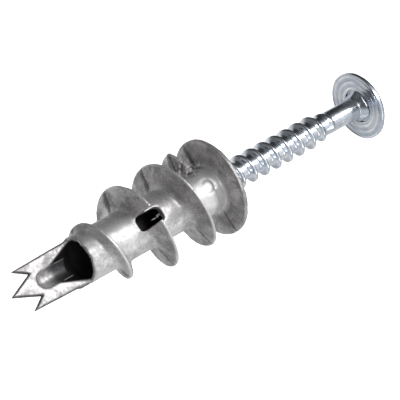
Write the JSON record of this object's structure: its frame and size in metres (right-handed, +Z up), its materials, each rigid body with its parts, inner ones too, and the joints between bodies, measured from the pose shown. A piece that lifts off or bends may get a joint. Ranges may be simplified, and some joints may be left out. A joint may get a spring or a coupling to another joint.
{
  "type": "wall anchor",
  "caption": "Self-drilling zinc plasterboard anchor with spade blade, coarse flights and rear flange, and its washer-head screw part-driven.",
  "frame": {"origin": "centre of the anchor flange's rear face, which lies flush with the wall surface, on the common axis", "axes": "+X out of the wall along the axis towards the screw head, +Z up out of the blade's flat face, +Y completes the right-handed set"},
  "size_m": [0.0653, 0.0142, 0.0142],
  "materials": {
    "zinc_casting": "as-cast satin zinc, slightly mottled",
    "zinc_plate": "bright blue-white zinc plating on steel"
  },
  "bodies": {
    "anchor": {"anchor": "zinc_casting"},
    "washer": {"washer": "zinc_plate"},
    "screw": {"screw": "zinc_plate"}
  },
  "joints": [
    {"name": "screw_feed", "type": "slide", "parent": "anchor", "child": "washer", "axis": [-1, 0, 0], "range_m": [-0.011, 0.016]},
    {"name": "screw_turn", "type": "hinge", "parent": "washer", "child": "screw", "pos_m": [0, 0, 0], "axis": [-1, 0, 0], "range_deg": [-1761, 2561]}
  ],
  "couplings": [
    {"joint": "screw_turn", "follows": "screw_feed", "rad_per_m": 2792.5}
  ]
}
